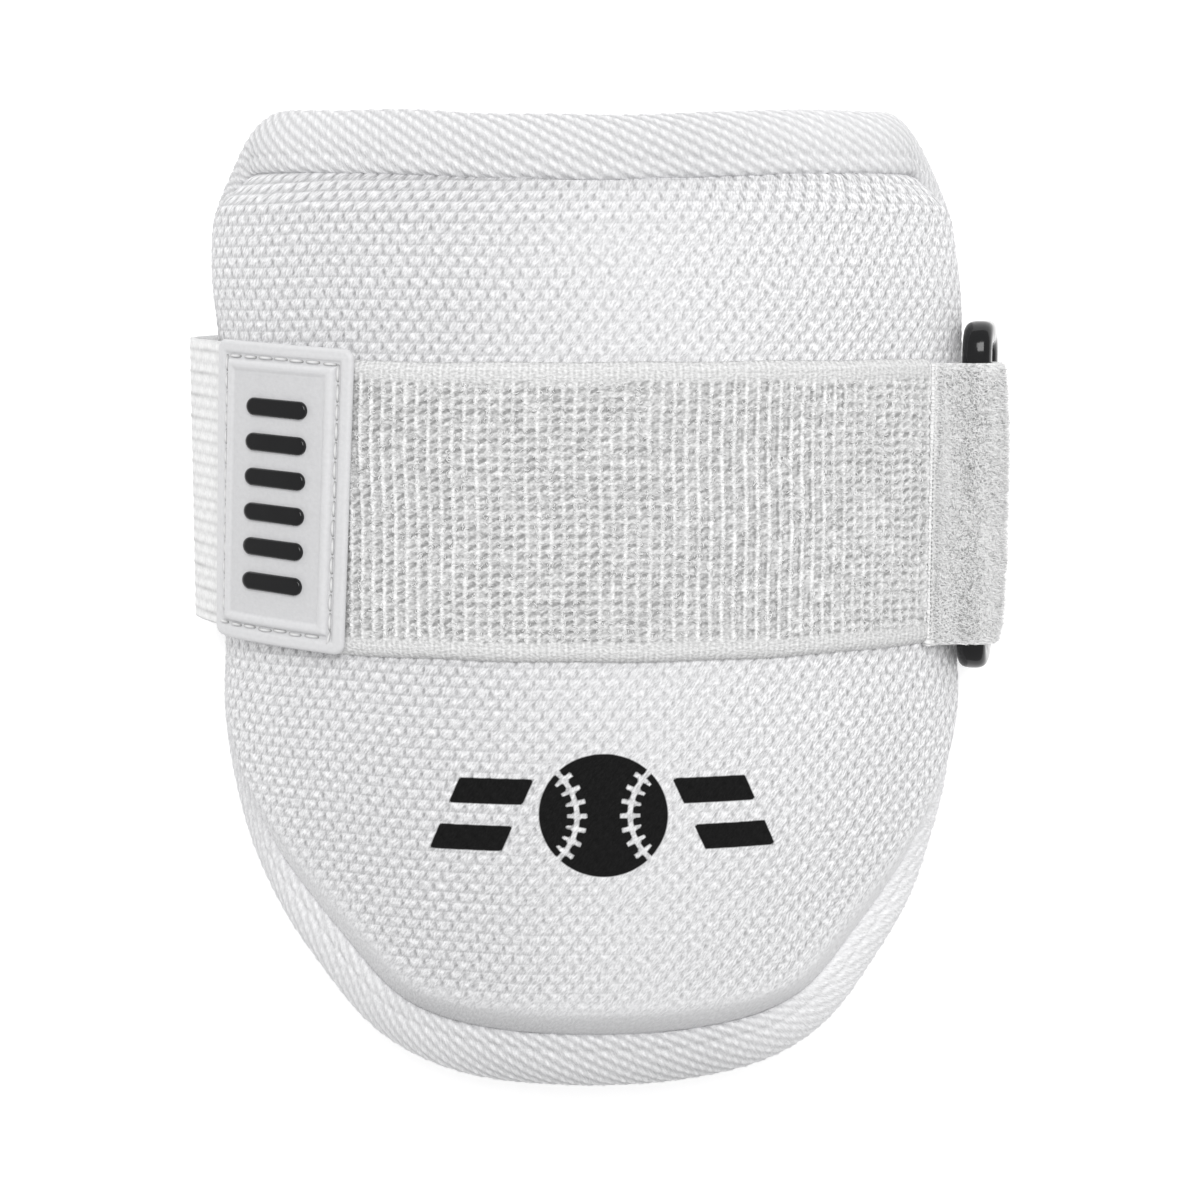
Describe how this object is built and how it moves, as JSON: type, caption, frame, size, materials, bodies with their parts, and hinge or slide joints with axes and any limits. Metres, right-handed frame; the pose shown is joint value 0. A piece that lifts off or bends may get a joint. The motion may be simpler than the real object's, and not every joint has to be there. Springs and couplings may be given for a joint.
{
  "type": "elbow guard",
  "caption": "Padded elbow guard for a batter: a curved shield with bound edges, held on the arm by an elastic strap with a ring and a pull patch.",
  "frame": {"origin": "middle of the strap's flat back run, on the surface that the guard rests on", "axes": "+X across the guard towards the ring, +Y along the arm towards the guard's upper end, +Z out of the front of the guard"},
  "size_m": [0.1507, 0.1753, 0.0553],
  "materials": {
    "mesh_fabric": "white woven mesh",
    "twill_tape": "white twill tape",
    "loop_elastic": "white knitted loop pile",
    "fleece": "white brushed pile",
    "webbing": "white ribbed elastic",
    "black_plastic": "gloss black",
    "white_rubber": "matt white"
  },
  "bodies": {
    "root": {"pad": "mesh_fabric", "edge_binding": "twill_tape", "loop_band": "loop_elastic", "ring_tab": "fleece", "elastic_strap": "webbing", "strap_ring": "black_plastic", "tab_patch": "white_rubber"}
  },
  "joints": []
}
